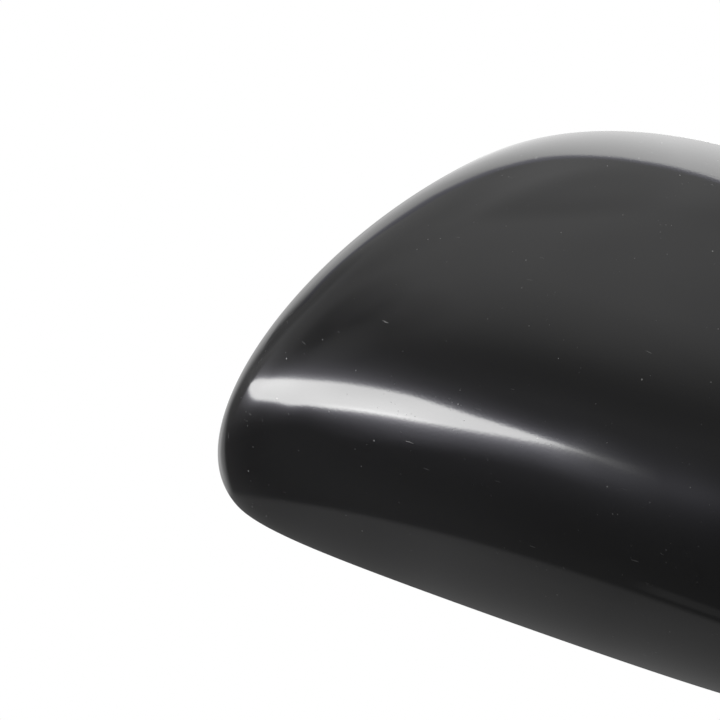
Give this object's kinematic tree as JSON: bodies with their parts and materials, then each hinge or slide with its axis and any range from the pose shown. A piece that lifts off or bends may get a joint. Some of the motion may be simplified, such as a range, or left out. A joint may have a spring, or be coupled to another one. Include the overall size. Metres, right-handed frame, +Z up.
{
  "type": "wing mirror cover",
  "caption": "Domed gloss black clip-on cover for a car's door mirror, open to the rear and below, with hooks, pins and ribs inside.",
  "frame": {"origin": "middle of the length and depth of the cover, in the plane of its bottom edge", "axes": "+X along the length towards the inboard end, +Y to the rear opening (the mirror glass side), +Z up; the show face looks along -Y"},
  "size_m": [0.2478, 0.0912, 0.1253],
  "materials": {
    "gloss_black": "polished"
  },
  "bodies": {
    "root": {"mirror_cover": "gloss_black"}
  },
  "joints": []
}
